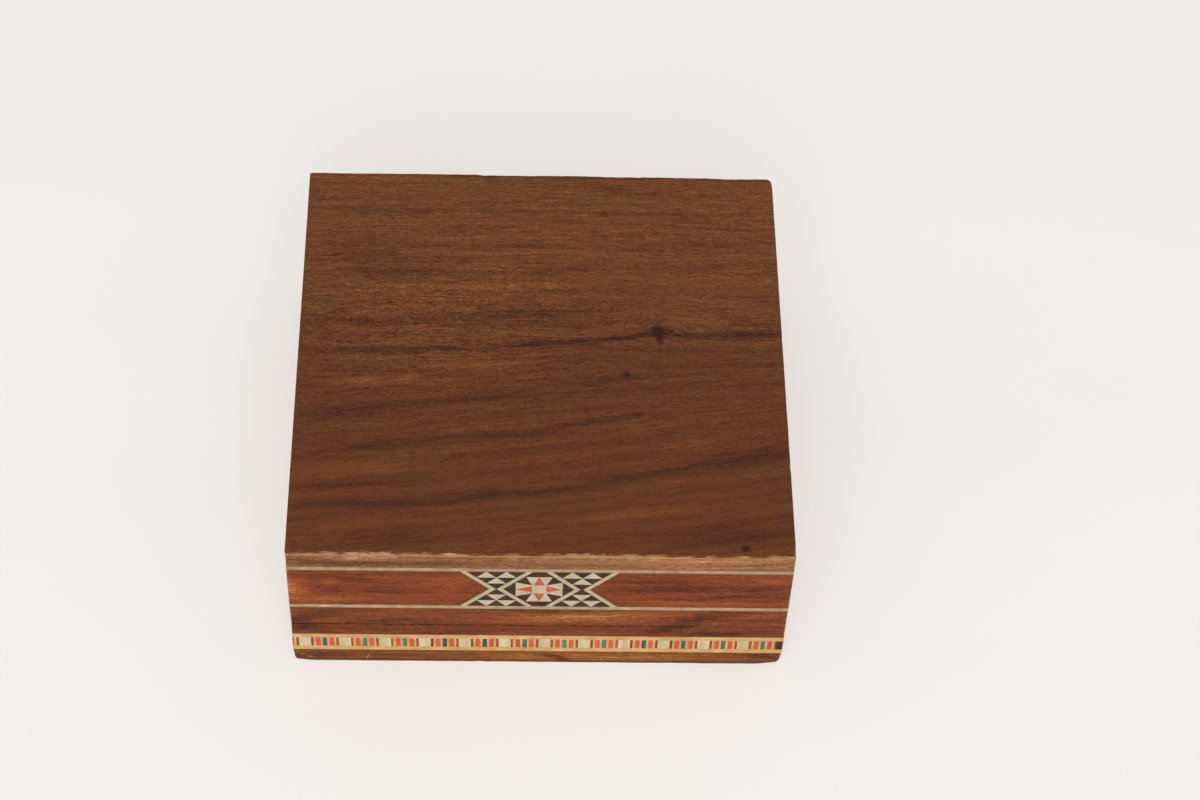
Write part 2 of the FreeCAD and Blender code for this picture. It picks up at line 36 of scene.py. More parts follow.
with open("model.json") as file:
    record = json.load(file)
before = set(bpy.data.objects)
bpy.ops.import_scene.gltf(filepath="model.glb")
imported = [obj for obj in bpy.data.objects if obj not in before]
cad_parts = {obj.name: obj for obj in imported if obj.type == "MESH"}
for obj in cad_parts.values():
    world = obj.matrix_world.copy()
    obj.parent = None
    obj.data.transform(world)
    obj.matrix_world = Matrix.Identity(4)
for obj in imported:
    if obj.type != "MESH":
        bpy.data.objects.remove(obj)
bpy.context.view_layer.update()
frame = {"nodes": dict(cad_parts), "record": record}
nodes = frame["nodes"]
MM = 0.001


def box_mm(node):
    low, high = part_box(node)
    return low / MM, high / MM


# The faces of the box and the levels of its strips. The box is sawn apart between RIM and SKIRT.
TOP_LOW, TOP_HIGH = box_mm("lid_top_veneer")
LEFT, FRONT, _ = TOP_LOW
RIGHT, BACK, TOP = TOP_HIGH
BOTTOM = box_mm("base_bottom_veneer")[0].z
RIM = box_mm("base_front_rim_strip")[1].z
SKIRT = box_mm("lid_front_skirt_strip")[0].z
SEAM = (RIM + SKIRT) / 2
FOOT = box_mm("base_foot_strips")[1].z
FRIEZE_LOW, FRIEZE_HIGH = (corner.z for corner in box_mm("lid_front_frieze_left"))
VENEER = 1.0
SIDES = ("front", "left", "right", "back")
SHARP = math.radians(40.0)


# Materials

# The ends of the box take their grain from this far along, so that it doesn't repeat the front's.
ENDS_AWAY = 500.0
# How ragged the worn corners, the chips and the rubbed edge are.
CORNER_RAGGED = 1.2
CHIP_RAGGED = 1.1
RUB_RAGGED = 3.0
# How fast the rubbing of the front's top edge dies out behind and below it, and how bare it gets.
RUB_BEHIND = 1.7
RUB_BELOW = 0.7
RUB_BARE = 0.75


def rgb(red, green, blue):
    """A colour as it shows on a screen, 0 to 255, turned into the linear one that nodes take."""

    def linear(value):
        value /= 255
        return value / 12.92 if value <= 0.04045 else ((value + 0.055) / 1.055) ** 2.4

    return (linear(red), linear(green), linear(blue), 1.0)


class Paint:
    """One material's nodes, with a short call for each kind. Positions are in millimetres."""

    def __init__(self, name):
        self.material = bpy.data.materials.new(name)
        self.material.use_nodes = True
        self.tree = self.material.node_tree
        self.shader = self.tree.nodes["Principled BSDF"]

    def node(self, kind, **settings):
        node = self.tree.nodes.new(f"ShaderNode{kind}")
        for name, value in settings.items():
            setattr(node, name, value)
        return node

    def feed(self, socket, value):
        if isinstance(value, bpy.types.NodeSocket):
            self.tree.links.new(value, socket)
        else:
            socket.default_value = value

    def math(self, operation, *values):
        node = self.node("Math", operation=operation)
        for socket, value in zip(node.inputs, values):
            self.feed(socket, value)
        return node.outputs[0]

    def vector(self, operation, *values):
        node = self.node("VectorMath", operation=operation)
        for socket, value in zip(node.inputs, values):
            self.feed(socket, value)
        return node.outputs["Value" if operation == "LENGTH" else "Vector"]

    def scaled(self, vector, factor):
        node = self.node("VectorMath", operation="SCALE")
        self.feed(node.inputs[0], vector)
        self.feed(node.inputs["Scale"], factor)
        return node.outputs["Vector"]

    def swing(self, value):
        """A value of 0 to 1 as one that swings to either side of 0."""
        return self.math("SUBTRACT", value, 0.5)

    def parts(self, vector):
        node = self.node("SeparateXYZ")
        self.feed(node.inputs[0], vector)
        return node.outputs

    def joined(self, x, y, z):
        node = self.node("CombineXYZ")
        for socket, value in zip(node.inputs, (x, y, z)):
            self.feed(socket, value)
        return node.outputs[0]

    def between(self, value, low, high):
        """0 at low and 1 at high, with a smooth rise from one to the other."""
        node = self.node("MapRange", interpolation_type="SMOOTHSTEP")
        for name, setting in (("Value", value), ("From Min", low), ("From Max", high)):
            self.feed(node.inputs[name], setting)
        return node.outputs["Result"]

    def mix(self, share, first, second, blend_type="MIX"):
        node = self.node("Mix", data_type="RGBA", blend_type=blend_type)
        for index, value in ((0, share), (6, first), (7, second)):
            self.feed(node.inputs[index], value)
        return node.outputs[2]

    def either(self, switch, first, second):
        """The first vector where switch is 0 and the second where it is 1."""
        node = self.node("Mix", data_type="VECTOR")
        for index, value in ((0, switch), (4, first), (5, second)):
            self.feed(node.inputs[index], value)
        return node.outputs[1]

    def ramp(self, value, stops):
        node = self.node("ValToRGB")
        steps = node.color_ramp.elements
        while len(steps) < len(stops):
            steps.new(1.0)
        for step, (place, colour) in zip(steps, stops):
            step.position = place
            step.color = colour
        self.feed(node.inputs[0], value)
        return node.outputs["Color"]

    def noise(self, vector, detail=2.0, roughness=0.5):
        """The outputs of a noise texture: its value, then its colour."""
        node = self.node("TexNoise")
        settings = {"Vector": vector, "Scale": 1.0, "Detail": detail, "Roughness": roughness}
        for name, value in settings.items():
            self.feed(node.inputs[name], value)
        return node.outputs

    def drawn_out(self, position, length, width):
        """The position scaled so that the marks of noise are about that long and wide."""
        return self.vector("MULTIPLY", position, (1 / length, 1 / width, 1 / width))

    def grain(self, position, length, width, detail=2.0, roughness=0.5):
        """Noise drawn out along the first axis."""
        return self.noise(self.drawn_out(position, length, width), detail, roughness)[0]

    def bent(self, position, length, width, amount):
        """The position pushed sideways by up to half the amount, so that straight grain wanders."""
        push = self.noise(self.drawn_out(position, length, width), 1.0)[1]
        push = self.vector("SUBTRACT", push, (0.5, 0.5, 0.5))
        return self.vector("MULTIPLY_ADD", push, (0.0, amount, amount), position)

    def patch(self, position, middle, size, turn):
        """1 in the middle of a soft, turned patch and 0 outside it."""
        node = self.node("Mapping", vector_type="TEXTURE")
        self.feed(node.inputs["Vector"], position)
        self.feed(node.inputs["Location"], middle)
        self.feed(node.inputs["Rotation"], turn)
        self.feed(node.inputs["Scale"], size)
        return self.between(self.vector("LENGTH", node.outputs[0]), 1.0, 0.0)

    def position(self):
        """Where the point is in the part, which stays with the piece when the lid moves."""
        return self.scaled(self.node("TexCoord").outputs["Object"], 1 / MM)

    def round_the_sides(self, position):
        """The position with its first axis along whichever side it is on."""
        x, y, z = self.parts(position)
        on_end = self.math("GREATER_THAN", self.math("ABSOLUTE", x), self.math("ABSOLUTE", y))
        along_y = self.joined(self.math("ADD", y, ENDS_AWAY), x, z)
        return self.either(on_end, position, along_y)

    def corner_wear(self, position):
        """1 on the rounded upright corners of the box, broken up by noise."""
        x, y, _ = self.parts(position)
        inner = self.math("MINIMUM", self.math("ABSOLUTE", x), self.math("ABSOLUTE", y))
        rough = self.grain(position, 1.5, 1.5, 3.0)
        ragged = self.math("MULTIPLY_ADD", rough, CORNER_RAGGED, inner)
        return self.between(ragged, RIGHT + 0.2, RIGHT + 0.7)

    def attribute(self, name):
        return self.node("Attribute", attribute_name=name).outputs["Fac"]

    def bareness(self, position):
        """How far the wood is worn bare: in the chips of the piece's own mesh, with a ragged edge,
        and here and there along the top edge of the front."""
        ragged = self.swing(self.grain(position, 1.4, 0.45, 3.0))
        chipped = self.math("MULTIPLY_ADD", ragged, CHIP_RAGGED, self.attribute("bare"))
        chipped = self.between(chipped, 0.2, 0.8)
        _, y, z = self.parts(position)
        from_edge = self.math("MULTIPLY", self.math("SUBTRACT", y, FRONT), RUB_BEHIND)
        from_edge = self.math("MULTIPLY_ADD", self.math("SUBTRACT", TOP, z), RUB_BELOW, from_edge)
        rubbed = self.between(self.math("MULTIPLY_ADD", ragged, RUB_RAGGED, from_edge), 1.0, 0.2)
        places = self.between(self.grain(position, 7.0, 60.0, 2.0), 0.48, 0.66)
        rubbed = self.math("MULTIPLY", rubbed, self.math("MULTIPLY", places, RUB_BARE))
        return self.math("MAXIMUM", chipped, rubbed)

    def bump(self, height, depth):
        node = self.node("Bump")
        self.feed(node.inputs["Height"], height)
        self.feed(node.inputs["Strength"], 1.0)
        self.feed(node.inputs["Distance"], depth * MM)
        return node.outputs[0]

    def finish(self, colour, roughness, normal=None, **settings):
        self.feed(self.shader.inputs["Base Color"], colour)
        self.feed(self.shader.inputs["Roughness"], roughness)
        if normal is not None:
            self.feed(self.shader.inputs["Normal"], normal)
        for name, value in settings.items():
            self.feed(self.shader.inputs[name.replace("_", " ")], value)
        return self.material


BARE_WOOD = rgb(176, 132, 87)
CHIPPED_WOOD = rgb(186, 153, 111)
# Painted shade along the sawn line between lid and base: its dark colour, its strength, and how it
# fades toward the right.
SEAM_SHADE = rgb(44, 24, 16)
SEAM_SHADE_SHARE = 0.7
SEAM_SHADE_GAIN_PER_MM = -0.002
FOOT_TINT = (1.0, 1.22, 1.3, 1.0)
# The walnut's noise, as detail and roughness, and its marks, as length, width and weight.
WALNUT_NOISE = (3.0, 0.6)
WALNUT_MARKS = ((24.0, 0.8, 0.5), (3.6, 0.4, 0.85), (0.75, 0.32, 1.1))
PORES_DARKEN = -0.3
PORES_SINK = -0.7
SIDE_TONE = 0.5
SIDE_FIGURE = 0.75
SIDE_WEAR = 0.5
WOOD_SHINE = 0.14
WOOD_RELIEF = 0.03
INLAY_RELIEF = 0.02
PATCH_DEPTH = 4.0
UNTURNED = (0.0, 0.0, 0.0)


def wood(paint, grained, marked, stops, patches, tone, streaks, figure):
    """Streaks, dashes, mottling, pores and patches as one tone from dark to light, which the stops
    colour, and the height of the surface."""
    broad = paint.swing(paint.grain(grained, 55.0, 2.4, *WALNUT_NOISE))
    value = paint.math("MULTIPLY_ADD", broad, streaks, tone)
    for length, width, weight in WALNUT_MARKS:
        layer = paint.swing(paint.grain(grained, length, width, *WALNUT_NOISE))
        value = paint.math("MULTIPLY_ADD", layer, paint.math("MULTIPLY", figure, weight), value)
    marks = 0.0
    for middle, size, turn, strength in patches:
        patch = paint.patch(marked, middle, size, turn)
        marks = paint.math("MULTIPLY_ADD", patch, strength, marks)
    broken = paint.math("MULTIPLY_ADD", paint.grain(grained, 5.0, 0.5, *WALNUT_NOISE), 1.6, 0.2)
    value = paint.math("MULTIPLY_ADD", marks, broken, value)
    pores = paint.between(paint.grain(grained, 1.4, 0.22, 1.0), 0.58, 0.70)
    value = paint.math("MULTIPLY_ADD", pores, paint.math("MULTIPLY", figure, PORES_DARKEN), value)
    height = paint.math("MULTIPLY_ADD", pores, PORES_SINK, paint.math("MULTIPLY", broken, 0.25))
    return paint.ramp(value, stops), height


def on_front(x, z, length, width, lean, strength):
    """A patch of lighter or darker wood on the front: middle, size, slope in degrees, strength."""
    size = (length / 2, PATCH_DEPTH, width / 2)
    return (x, FRONT, z), size, (0.0, -math.radians(lean), 0.0), strength


def on_top(x, y, length, width, lean, strength):
    """The same for a patch on top."""
    size = (length / 2, width / 2, PATCH_DEPTH)
    return (x, y, TOP), size, (0.0, 0.0, math.radians(lean)), strength


def side_walnut(name, stops, patches, seed, streaks, bend):
    """Walnut round the sides of the box, greyer on the foot, paler at the upright corners, bare
    where it is chipped, and darkened with painted shade along the sawn line, less so to the right."""
    paint = Paint(name)
    position = paint.position()
    along = paint.round_the_sides(position)
    moved = paint.vector("ADD", along, (seed, seed, seed))
    grained = paint.bent(moved, 45.0, 14.0, bend)
    marked = paint.bent(paint.bent(position, 9.0, 3.0, 1.6), 2.0, 0.6, 0.6)
    tone = (SIDE_TONE, streaks, SIDE_FIGURE)
    colour, height = wood(paint, grained, marked, stops, patches, *tone)
    x, _, z = paint.parts(position)
    colour = paint.mix(paint.math("LESS_THAN", z, FOOT), colour, FOOT_TINT, "MULTIPLY")
    # Painted shade in and beside the sawn line between lid and base, broken up by noise and fainter
    # to the right.
    from_seam = paint.math("ABSOLUTE", paint.math("SUBTRACT", z, SEAM))
    near_seam = paint.between(from_seam, 0.42, 0.12)
    seam_shade_spread = paint.math("MULTIPLY_ADD", x, SEAM_SHADE_GAIN_PER_MM, paint.grain(along, 2.4, 2.4, 3.0))
    seam_shade = paint.math("MULTIPLY", near_seam, paint.between(seam_shade_spread, 0.42, 0.62))
    colour = paint.mix(paint.math("MULTIPLY", seam_shade, SEAM_SHADE_SHARE), colour, SEAM_SHADE)
    worn = paint.math("MULTIPLY", paint.corner_wear(position), SIDE_WEAR)
    colour = paint.mix(worn, colour, BARE_WOOD)
    colour = paint.mix(paint.bareness(position), colour, CHIPPED_WOOD)
    roughness = paint.math("MULTIPLY_ADD", paint.grain(along, 4.0, 2.0), 0.2, 0.42)
    normal = paint.bump(height, WOOD_RELIEF)
    return paint.finish(colour, roughness, normal, Specular_IOR_Level=WOOD_SHINE)


# On top: how the streaks climb, and more so to the right; the knot, how far round it the grain is
# disturbed and how much it parts; how far it ripples, and the zones, as middle and size, where it
# does; and the zone where the figure is livelier.
CLIMB = 0.1
CLIMB_GROWTH = 0.0004
KNOT = (24.1, 6.4)
KNOT_REACH = 11.0
KNOT_PARTS = 0.4
RIPPLE = 2.4
RIPPLED = (
    ((9.0, -1.0, TOP), (17.0, 7.0, PATCH_DEPTH)),
    ((14.0, 17.0, TOP), (14.0, 7.0, PATCH_DEPTH)),
)
LIVELY_MIDDLE = (-24.0, 8.0, TOP)
LIVELY_SIZE = (52.0, 24.0, PATCH_DEPTH)
LIVELY_FIGURE = 0.4
# Tone and figure at the front, and how much they gain toward the back.
TOP_TONE, TOP_TONE_GAIN = 0.54, 0.10
TOP_FIGURE, TOP_FIGURE_GAIN = 0.48, 0.44
TOP_STREAKS = 0.5
REDDER = rgb(240, 218, 222)
REDDER_SHARE = 0.6
BARE_DARK = rgb(126, 80, 46)
BARE_LIGHT = rgb(187, 143, 96)
TOP_STOPS = [
    (0.0, rgb(48, 24, 16)),
    (0.25, rgb(76, 41, 24)),
    (0.5, rgb(98, 56, 30)),
    (0.75, rgb(120, 70, 36)),
    (1.0, rgb(149, 92, 52)),
]
TOP_PATCHES = [
    on_top(-34, -37.8, 56, 4.2, 2.0, -0.28),
    on_top(-6, -35.2, 52, 4.2, 5.0, -0.29),
    on_top(18, -30.8, 42, 4.2, 10.0, -0.28),
    on_top(41, -25.6, 38, 6.2, 11.0, -0.30),
    on_top(-36, -33.6, 40, 2.6, 2.0, -0.18),
    on_top(-34, -23.8, 42, 3.0, 8.0, -0.31),
    on_top(-8, -20.6, 40, 3.0, 5.0, -0.29),
    on_top(10, -17.0, 32, 2.8, 11.0, -0.26),
    on_top(-38, -15.0, 44, 6.0, 7.0, -0.23),
    on_top(-10, -10.6, 44, 4.6, 9.0, -0.24),
    on_top(10, -7.0, 30, 2.6, 6.0, -0.20),
    on_top(-30, 0.9, 52, 2.8, 2.0, -0.26),
    on_top(2, 3.5, 42, 2.6, 4.0, -0.38),
    on_top(12.5, 4.4, 22, 2.2, 6.0, -0.26),
    on_top(18.6, 5.4, 17, 2.6, 11.0, -0.42),
    on_top(29.4, 6.1, 15, 2.6, -8.0, -0.36),
    on_top(43, 6.2, 30, 3.2, 2.0, -0.42),
    on_top(-4, 11.2, 38, 4.0, 2.0, -0.24),
    on_top(-38, 8.0, 36, 3.0, 0.0, -0.18),
    on_top(-36, 28.0, 44, 9.0, 0.0, -0.15),
    on_top(6, 39.2, 110, 2.2, 0.0, -0.16),
    on_top(-28, 22.5, 52, 2.2, -1.0, -0.20),
    on_top(40, -45.0, 44, 8.0, 6.0, -0.18),
    on_top(-30, -46.0, 40, 6.0, 2.0, -0.14),
    on_top(0, 49.6, 120, 1.6, 0.0, -0.25),
    on_top(-5, 18.6, 70, 3.4, 1.0, 0.22),
    on_top(-34, -7.0, 44, 3.6, 3.0, 0.28),
    on_top(-14, -2.6, 40, 2.8, 3.0, 0.22),
    on_top(32, 10.0, 20, 4.6, -4.0, 0.14),
    on_top(-36, -29.5, 44, 4.6, 4.0, 0.14),
    on_top(22, -39.0, 50, 6.0, 8.0, 0.12),
    on_top(KNOT[0], KNOT[1], 11.0, 5.0, 4.0, -0.24),
    on_top(KNOT[0], KNOT[1] + 0.5, 3.6, 4.6, -20.0, -0.8),
    on_top(KNOT[0] + 0.4, KNOT[1] - 1.8, 2.4, 5.2, 8.0, -0.5),
    on_top(17.6, -4.6, 3.0, 2.6, 0.0, -0.45),
    on_top(19.5, -15.2, 4.0, 2.2, 8.0, -0.30),
    on_top(40.2, -48.0, 3.0, 2.4, 0.0, -0.62),
]


def top_walnut():
    """The sheet on top: streaks that climb to the right in the front half, and part round one small
    knot. The sheet under the base is of the same wood."""
    paint = Paint("walnut_sheet")
    position = paint.position()
    x, y, z = paint.parts(position)
    from_left = paint.math("SUBTRACT", x, LEFT)
    slope = paint.math("MULTIPLY_ADD", from_left, CLIMB_GROWTH, CLIMB)
    climb = paint.math("MULTIPLY", from_left, slope)
    climb = paint.math("MULTIPLY", climb, paint.between(y, 8.0, -16.0))
    level = paint.math("SUBTRACT", y, climb)
    from_knot = paint.vector("SUBTRACT", position, (KNOT[0], KNOT[1], TOP))
    squashed = paint.vector("MULTIPLY", from_knot, (0.6, 1.0, 0.0))
    near = paint.between(paint.vector("LENGTH", squashed), KNOT_REACH, 0.0)
    parted = paint.math("MULTIPLY", paint.parts(from_knot)[1], KNOT_PARTS)
    parted = paint.math("MULTIPLY", near, parted)
    rippling = near
    for middle, size in RIPPLED:
        zone = paint.patch(position, middle, size, UNTURNED)
        rippling = paint.math("MAXIMUM", rippling, zone)
    rippled = paint.math("MULTIPLY", rippling, paint.grain(position, 1.8, 5.0, 1.0))
    level = paint.math("SUBTRACT", level, paint.math("MULTIPLY_ADD", rippled, RIPPLE, parted))
    grained = paint.bent(paint.joined(x, level, z), 40.0, 14.0, 3.0)
    marked = paint.bent(paint.bent(position, 12.0, 4.0, 1.4), 2.2, 0.6, 0.7)
    tone = paint.between(y, -10.0, 40.0)
    tone = paint.math("MULTIPLY_ADD", tone, TOP_TONE_GAIN, TOP_TONE)
    figure = paint.between(y, -42.0, 2.0)
    figure = paint.math("MULTIPLY_ADD", figure, TOP_FIGURE_GAIN, TOP_FIGURE)
    lively = paint.patch(position, LIVELY_MIDDLE, LIVELY_SIZE, UNTURNED)
    figure = paint.math("MULTIPLY_ADD", lively, LIVELY_FIGURE, figure)
    marks = (TOP_STOPS, TOP_PATCHES, tone, TOP_STREAKS, figure)
    colour, height = wood(paint, grained, marked, *marks)
    toward_front = paint.math("MULTIPLY", paint.between(y, 30.0, -30.0), REDDER_SHARE)
    colour = paint.mix(toward_front, colour, REDDER, "MULTIPLY")
    bare = paint.mix(paint.grain(position, 5.0, 0.8, 3.0), BARE_DARK, BARE_LIGHT)
    wavy = paint.math("MULTIPLY_ADD", paint.grain(position, 3.0, 3.0, 3.0), 0.7, z)
    lower = paint.between(wavy, TOP + 0.1, TOP - 0.1)
    edge = paint.math("MULTIPLY", lower, paint.math("GREATER_THAN", z, RIM))
    colour = paint.mix(edge, colour, bare)
    colour = paint.mix(paint.bareness(position), colour, paint.mix(0.5, bare, CHIPPED_WOOD))
    roughness = paint.math("MULTIPLY_ADD", paint.grain(position, 5.0, 3.0), 0.2, 0.44)
    normal = paint.bump(height, WOOD_RELIEF)
    return paint.finish(colour, roughness, normal, Specular_IOR_Level=WOOD_SHINE)


INLAY_WEAR = 0.35
DIRT_TINT = (0.92, 0.88, 0.90, 1.0)
MOTIF_TINTED = 0.5
INSIDE = 0.01


def tint_motif(paint, position, colour, tint):
    """The colour, part way to the tint on the pieces of the motif but not on lines or banding."""
    if tint is None:
        return colour
    z = paint.parts(position)[2]
    above = paint.math("GREATER_THAN", z, FRIEZE_LOW + INSIDE)
    within = paint.math("MULTIPLY", above, paint.math("LESS_THAN", z, FRIEZE_HIGH - INSIDE))
    return paint.mix(paint.math("MULTIPLY", within, MOTIF_TINTED), colour, tint)


def plain_wood(name, dark, light, seed, contrast=0.5, roughness=0.5, motif_tint=None):
    """Dyed, bleached or plain wood of the inlays: a fine straight grain and little else, dirtier
    above the frieze."""
    paint = Paint(name)
    position = paint.position()
    along = paint.vector("ADD", paint.round_the_sides(position), (seed, seed, seed))
    fine = paint.grain(along, 3.0, 0.22, 2.0)
    broad = paint.grain(along, 2.2, 2.2, 1.0)
    value = paint.math("MULTIPLY_ADD", fine, contrast, 0.5 - contrast / 2)
    value = paint.math("MULTIPLY_ADD", paint.swing(broad), 0.9, value)
    colour = paint.ramp(value, [(0.2, dark), (0.8, light)])
    colour = tint_motif(paint, position, colour, motif_tint)
    high_up = paint.math("GREATER_THAN", paint.parts(position)[2], FRIEZE_HIGH)
    colour = paint.mix(high_up, colour, DIRT_TINT, "MULTIPLY")
    worn = paint.math("MULTIPLY", paint.corner_wear(position), INLAY_WEAR)
    colour = paint.mix(worn, colour, BARE_WOOD)
    normal = paint.bump(fine, INLAY_RELIEF)
    return paint.finish(colour, roughness, normal, Specular_IOR_Level=WOOD_SHINE)


def cross_grained(name, dark, light, seed, contrast=0.9, motif_tint=None):
    """Slices of the banding, cut across the rod, so that their fine grain stands upright. The red
    points of the star are of the same wood as the red slices."""
    paint = Paint(name)
    position = paint.position()
    along = paint.vector("ADD", paint.round_the_sides(position), (seed, seed, seed))
    x, y, z = paint.parts(along)
    upright = paint.joined(z, x, y)
    fine = paint.grain(upright, 2.5, 0.14, 2.0)
    each = paint.grain(along, 1.6, 40.0, 0.0)
    value = paint.math("MULTIPLY_ADD", fine, contrast, 0.5 - contrast / 2)
    value = paint.math("MULTIPLY_ADD", paint.swing(each), 1.2, value)
    colour = paint.ramp(value, [(0.15, dark), (0.85, light)])
    colour = tint_motif(paint, position, colour, motif_tint)
    normal = paint.bump(fine, INLAY_RELIEF)
    return paint.finish(colour, 0.5, normal, Specular_IOR_Level=WOOD_SHINE)


def softwood():
    """The bare carcass: pale, with soft growth lines and the marks of the saw."""
    paint = Paint("softwood")
    position = paint.position()
    along = paint.bent(paint.round_the_sides(position), 50.0, 12.0, 3.0)
    rings = paint.grain(along, 90.0, 1.5, 2.0)
    fine = paint.grain(along, 6.0, 0.25, 2.0)
    value = paint.math("MULTIPLY_ADD", fine, 0.35, paint.math("MULTIPLY", rings, 0.7))
    stops = [(0.3, rgb(170, 126, 76)), (0.55, rgb(205, 166, 112)), (0.75, rgb(224, 190, 140))]
    colour = paint.ramp(value, stops)
    x, y, _ = paint.parts(position)
    sawn = paint.math("SINE", paint.math("MULTIPLY", paint.math("ADD", x, y), 7.0))
    height = paint.math("MULTIPLY_ADD", sawn, 0.25, fine)
    normal = paint.bump(height, WOOD_RELIEF)
    return paint.finish(colour, 0.75, normal, Specular_IOR_Level=WOOD_SHINE)


def brass():
    """Drawn brass of the hinges, tarnished in patches."""
    paint = Paint("brass")
    position = paint.position()
    drawn = paint.grain(position, 6.0, 0.12, 2.0)
    tarnish = paint.between(paint.grain(position, 3.5, 3.5, 4.0), 0.42, 0.68)
    colour = paint.mix(drawn, rgb(196, 158, 88), rgb(222, 186, 112))
    colour = paint.mix(tarnish, colour, rgb(126, 92, 50))
    roughness = paint.math("MULTIPLY_ADD", tarnish, 0.25, 0.3)
    return paint.finish(colour, roughness, paint.bump(drawn, 0.01), Metallic=1.0)


def felt():
    """Red felt, brushed lighter in patches."""
    paint = Paint("lining_cloth")
    position = paint.position()
    pile = paint.noise(paint.scaled(position, 5.0), 3.0, 0.7)[0]
    brushed = paint.between(paint.grain(position, 14.0, 9.0, 3.0), 0.35, 0.7)
    colour = paint.mix(paint.between(pile, 0.3, 0.7), rgb(82, 12, 20), rgb(138, 26, 34))
    colour = paint.mix(paint.math("MULTIPLY", brushed, 0.4), colour, rgb(150, 42, 46))
    return paint.finish(
        colour,
        0.95,
        paint.bump(pile, 0.25),
        Specular_IOR_Level=0.1,
        Sheen_Weight=0.12,
        Sheen_Roughness=0.4,
    )


EDGE_PATCHES = [
    on_front(-36, 35.0, 26, 2.4, 0.0, -0.36),
    on_front(-44, 36.0, 24, 4.0, 0.0, -0.26),
    on_front(-20, 35.5, 34, 3.4, 0.0, -0.22),
    on_front(36, 35.4, 34, 1.4, 2.0, -0.20),
    on_front(26, 37.2, 70, 2.6, 0.5, 0.24),
    on_front(34, 35.6, 60, 5.0, 0.0, 0.15),
    on_front(-37, 37.2, 5.5, 2.0, 0.0, 0.40),
    on_front(-31, 37.4, 5.0, 1.2, 0.0, 0.26),
]
FRIEZE_PATCHES = [
    on_front(30, 27.3, 54, 3.6, 1.5, -0.36),
    on_front(22, 29.4, 32, 2.4, -1.0, -0.28),
    on_front(36, 24.3, 38, 2.6, 2.0, -0.24),
    on_front(24, 31.3, 30, 2.0, 0.0, -0.18),
    on_front(-40, 29.8, 24, 4.0, -4.0, -0.24),
    on_front(-33, 25.4, 32, 2.6, 0.0, -0.14),
    on_front(-51, 26.0, 15, 13.0, 0.0, 0.46),
    on_front(-41, 29.0, 9, 4.0, 5.0, 0.24),
    on_front(-43, 22.6, 20, 4.0, 5.0, 0.22),
    on_front(46, 30.6, 14, 2.4, 0.0, 0.18),
    on_front(-19, 28.2, 16, 10.0, 0.0, 0.12),
    on_front(45, 26.4, 18, 9.0, 0.0, -0.16),
    on_front(30, 22.1, 40, 3.4, 0.0, 0.18),
]
SKIRT_PATCHES = [
    on_front(-45, 17.0, 26, 5.6, 20.0, -0.26),
    on_front(-47, 12.6, 15, 8.0, 0.0, -0.28),
    on_front(30, 15.1, 30, 6.4, 30.0, -0.26),
    on_front(43, 15.9, 26, 3.6, 6.0, -0.14),
    on_front(38, 11.3, 32, 3.0, 4.0, -0.28),
    on_front(22, 11.6, 26, 3.6, 10.0, -0.12),
    on_front(-28, 15.5, 30, 2.4, 6.0, -0.16),
    on_front(-18, 10.9, 34, 2.4, 3.0, -0.22),
    on_front(-28, 12.4, 40, 3.0, 0.0, -0.14),
    on_front(3.5, 2.0, 11, 2.4, -20.0, -0.48),
    on_front(46, 3.0, 14, 2.4, -8.0, -0.30),
    on_front(-44, 2.4, 22, 4.4, 3.0, -0.20),
    on_front(12, 17.0, 64, 6.0, 4.0, 0.40),
    on_front(12, 2.4, 84, 7.0, 0.0, 0.34),
    on_front(-43, 15.0, 12, 2.4, 15.0, 0.16),
    on_front(44, 17.7, 16, 3.0, 5.0, 0.26),
    on_front(-46.6, 1.9, 2.6, 0.7, -20.0, 0.9),
    on_front(-48.0, 2.9, 1.6, 0.5, 30.0, 0.8),
    on_front(-34.8, 2.0, 2.2, 0.5, 60.0, 0.9),
]

